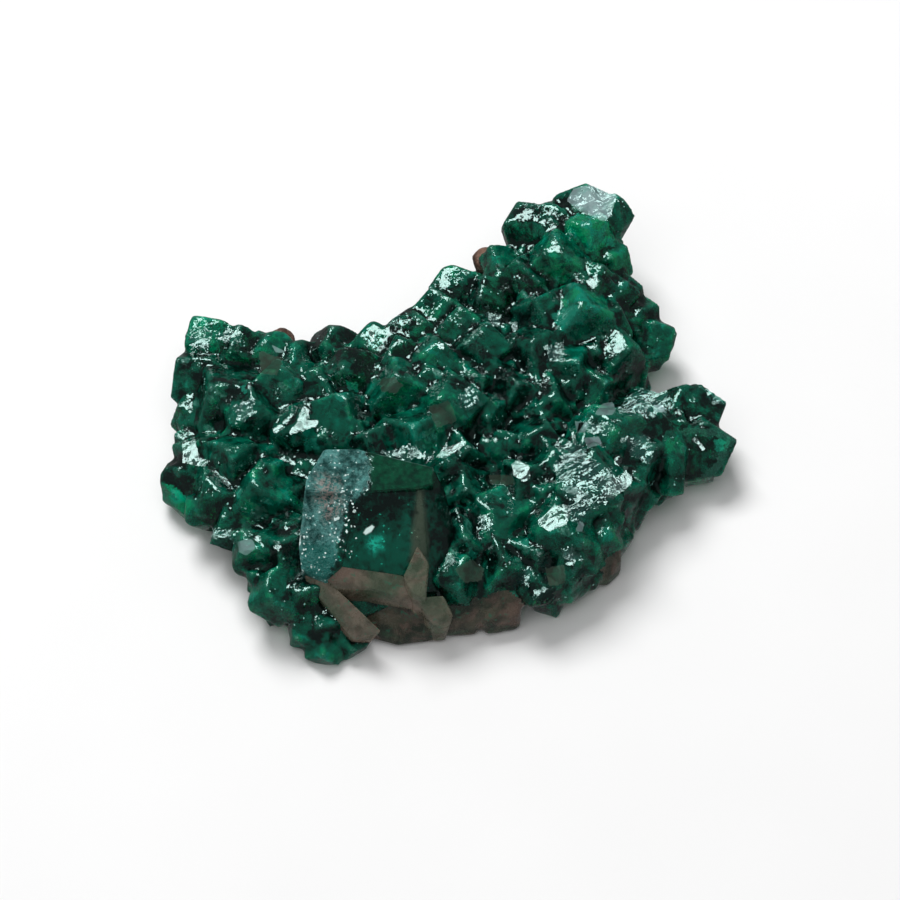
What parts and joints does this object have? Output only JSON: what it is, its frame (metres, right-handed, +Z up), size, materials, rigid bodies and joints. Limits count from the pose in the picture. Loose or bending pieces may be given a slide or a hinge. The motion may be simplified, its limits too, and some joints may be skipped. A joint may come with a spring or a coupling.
{
  "type": "dioptase crystal cluster",
  "caption": "Crust of stubby six-sided emerald-green crystals grown together on a thin matrix, one much larger at the front, flat underneath; a mineral display specimen.",
  "frame": {"origin": "middle of the bounding box in plan, on the flat underside", "axes": "+X along the length, to the right in the picture; +Y to the back; +Z up, away from the flat underside"},
  "size_m": [0.0482, 0.0436, 0.0119],
  "materials": {
    "dioptase": "gloss"
  },
  "bodies": {
    "root": {"dioptase_cluster": "dioptase"}
  },
  "joints": []
}
